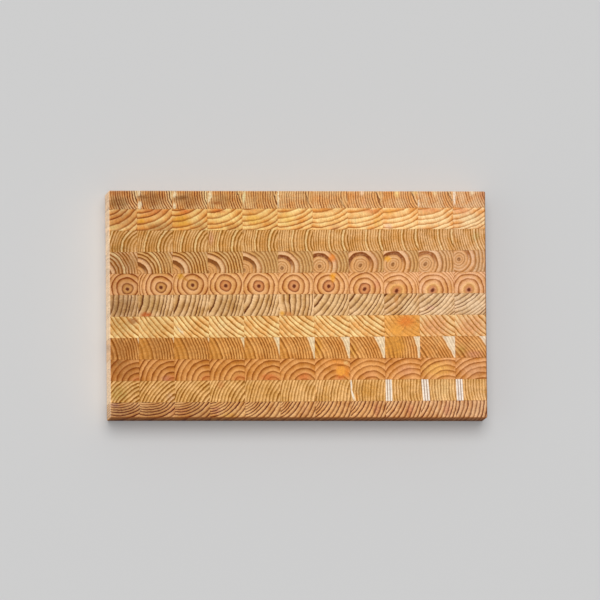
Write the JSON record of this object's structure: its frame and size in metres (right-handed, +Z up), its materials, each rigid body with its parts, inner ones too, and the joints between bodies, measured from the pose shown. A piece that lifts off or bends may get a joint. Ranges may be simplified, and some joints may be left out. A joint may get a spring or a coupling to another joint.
{
  "type": "cutting board",
  "caption": "Rectangular end-grain cutting board: small upright larch blocks glued into a mosaic of growth rings, with rounded edges and flat faces to cut on and rest on.",
  "frame": {"origin": "middle of the underside, which the board rests on", "axes": "+X along the long side, +Y to the back long side, +Z up out of the cutting face"},
  "size_m": [0.4484, 0.2696, 0.045],
  "materials": {
    "honey_larch": "satin",
    "tan_larch": "satin",
    "straw_larch": "satin",
    "russet_larch": "satin",
    "amber_larch": "satin"
  },
  "bodies": {
    "root": {"slice_01_rows_01_02": "honey_larch", "slice_01_rows_03_04": "tan_larch", "slice_01_rows_05_07": "straw_larch", "slice_01_rows_08_09": "russet_larch", "slice_01_rows_10_11": "amber_larch", "slice_02_rows_01_02": "honey_larch", "slice_02_rows_03_04": "tan_larch", "slice_02_rows_05_07": "straw_larch", "slice_02_rows_08_09": "russet_larch", "slice_02_rows_10_11": "amber_larch", "slice_03_rows_01_02": "honey_larch", "slice_03_rows_03_04": "tan_larch", "slice_03_rows_05_07": "straw_larch", "slice_03_rows_08_09": "russet_larch", "slice_03_rows_10_11": "amber_larch", "slice_04_rows_01_02": "honey_larch", "slice_04_rows_03_04": "tan_larch", "slice_04_rows_05_07": "straw_larch", "slice_04_rows_08_09": "russet_larch", "slice_04_rows_10_11": "amber_larch", "slice_05_rows_01_02": "honey_larch", "slice_05_rows_03_04": "tan_larch", "slice_05_rows_05_07": "straw_larch", "slice_05_rows_08_09": "russet_larch", "slice_05_rows_10_11": "amber_larch", "slice_06_rows_01_02": "honey_larch", "slice_06_rows_03_04": "tan_larch", "slice_06_rows_05_07": "straw_larch", "slice_06_rows_08_09": "russet_larch", "slice_06_rows_10_11": "amber_larch", "slice_07_rows_01_02": "honey_larch", "slice_07_rows_03_04": "tan_larch", "slice_07_rows_05_07": "straw_larch", "slice_07_rows_08_09": "russet_larch", "slice_07_rows_10_11": "amber_larch", "slice_08_rows_01_02": "honey_larch", "slice_08_rows_03_04": "tan_larch", "slice_08_rows_05_07": "straw_larch", "slice_08_rows_08_09": "russet_larch", "slice_08_rows_10_11": "amber_larch", "slice_09_rows_01_02": "honey_larch", "slice_09_rows_03_04": "tan_larch", "slice_09_rows_05_07": "straw_larch", "slice_09_rows_08_09": "russet_larch", "slice_09_rows_10_11": "amber_larch", "slice_10_rows_01_02": "honey_larch", "slice_10_rows_03_04": "tan_larch", "slice_10_rows_05_07": "straw_larch", "slice_10_rows_08_09": "russet_larch", "slice_10_rows_10_11": "amber_larch", "slice_11_rows_01_02": "honey_larch", "slice_11_rows_03_04": "tan_larch", "slice_11_rows_05_07": "straw_larch", "slice_11_rows_08_09": "russet_larch", "slice_11_rows_10_11": "amber_larch"}
  },
  "joints": []
}
